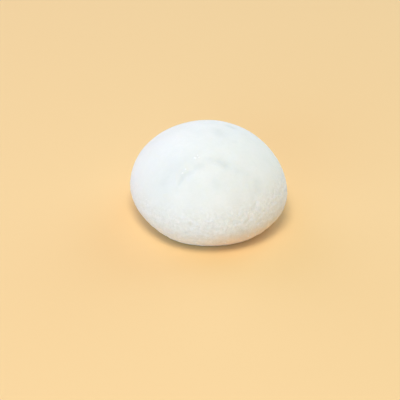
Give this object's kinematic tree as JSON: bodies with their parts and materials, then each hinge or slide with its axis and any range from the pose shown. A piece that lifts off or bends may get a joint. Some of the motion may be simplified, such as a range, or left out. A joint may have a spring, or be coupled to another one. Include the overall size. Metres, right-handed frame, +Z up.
{
  "type": "mochi rice cake",
  "caption": "Soft round stuffed rice cake, a low dome tucked in to a flat foot and dusted with starch. It rests on its foot.",
  "frame": {"origin": "middle of the footprint, at the level of the flat underside that it rests on", "axes": "+Z up through the crown. -Y is the front, where the filling swells under the dough, and +X is to the right seen from the front"},
  "size_m": [0.064, 0.063, 0.0377],
  "materials": {
    "dough": "soft white rice dough under a thin matt coat of starch",
    "starch": "dry matt starch grains"
  },
  "bodies": {
    "root": {"mochi": "dough"}
  },
  "joints": []
}
